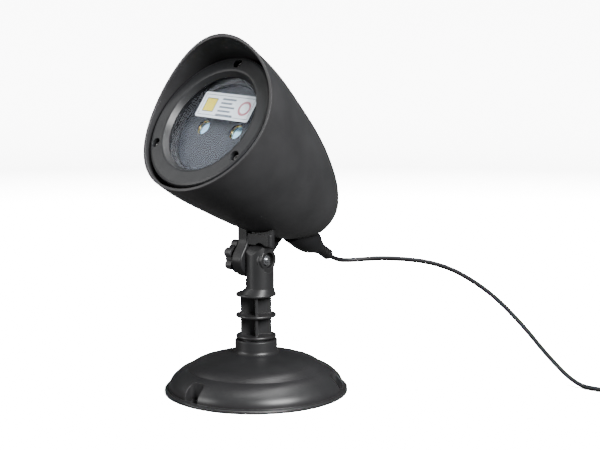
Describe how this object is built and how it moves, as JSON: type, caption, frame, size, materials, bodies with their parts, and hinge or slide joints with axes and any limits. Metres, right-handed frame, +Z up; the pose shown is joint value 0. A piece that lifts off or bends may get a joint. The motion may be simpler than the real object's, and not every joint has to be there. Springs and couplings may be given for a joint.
{
  "type": "light projector stake",
  "caption": "Bullet-shaped garden light projector with a visor and glass front, on a knob-clamped tilting post and a round screw-down base, with a cord.",
  "frame": {"origin": "centre of the round base's underside, which is the middle of its three fixing holes", "axes": "+Z up along the post, the head aims towards -Y and 33 degrees up at rest, +X is the clamp nut's side"},
  "size_m": [0.3427, 0.3093, 0.268],
  "materials": {
    "base_plastic": "satin black moulded",
    "shell_plastic": "fine matt black moulded",
    "bezel_plastic": "satin black moulded",
    "knob_plastic": "satin black moulded",
    "arm_metal": "black powder coat",
    "housing_plastic": "deep black moulded",
    "window_glass": "clear, faint blue coating",
    "seal_rubber": "matt",
    "zinc_steel": "zinc plated",
    "screw_steel": "nickel plated",
    "friction_fibre": "pressed fibre",
    "plate_paint": "fine texture blue-grey",
    "label_film": "printed film",
    "laser_brass": "turned",
    "lens_glass": "coated",
    "grating_film": "ruled",
    "diode_steel": "plated can",
    "heat_sink_metal": "milled",
    "board_green": "solder mask",
    "board_parts_black": "moulded cases",
    "cord_rubber": "satin black sheath",
    "plug_rubber": "matt black",
    "plug_metal": "nickel plated"
  },
  "bodies": {
    "base": {"base_dish": "base_plastic", "post": "base_plastic", "post_screw": "screw_steel", "post_washer": "zinc_steel", "clamp_nut": "zinc_steel", "friction_washer": "friction_fibre", "cord_lead": "cord_rubber", "cord_coil": "cord_rubber", "plug_body": "plug_rubber", "plug_barrel": "plug_metal"},
    "head": {"shell": "shell_plastic", "cable_outlet": "shell_plastic", "cord_boot": "plug_rubber", "outlet_grommet": "seal_rubber", "bracket_arm": "arm_metal", "arm_screws": "screw_steel", "bezel": "bezel_plastic", "bezel_screws": "screw_steel", "lamp_housing": "housing_plastic", "window": "window_glass", "window_seal": "seal_rubber", "front_plate": "plate_paint", "plate_label": "label_film", "laser_barrel_red": "laser_brass", "laser_barrel_green": "laser_brass", "laser_lens_red": "lens_glass", "laser_lens_green": "lens_glass", "grating_red": "grating_film", "grating_green": "grating_film", "laser_diode_red": "diode_steel", "laser_diode_green": "diode_steel", "heat_sink": "heat_sink_metal", "grub_screws": "screw_steel", "circuit_board": "board_green", "board_pillars": "housing_plastic", "board_screws": "screw_steel", "board_parts": "board_parts_black", "cord_run": "cord_rubber"},
    "knob": {"clamp_knob": "knob_plastic", "clamp_bolt": "zinc_steel", "knob_washer": "zinc_steel"}
  },
  "joints": [
    {"name": "head_tilt", "type": "hinge", "parent": "base", "child": "head", "pos_m": [0, 0, 0.101], "axis": [-1, 0, 0], "range_deg": [-35, 45]},
    {"name": "knob_turn", "type": "hinge", "parent": "base", "child": "knob", "pos_m": [-0.0177, 0, 0.101], "axis": [1, 0, 0], "continuous": true}
  ]
}
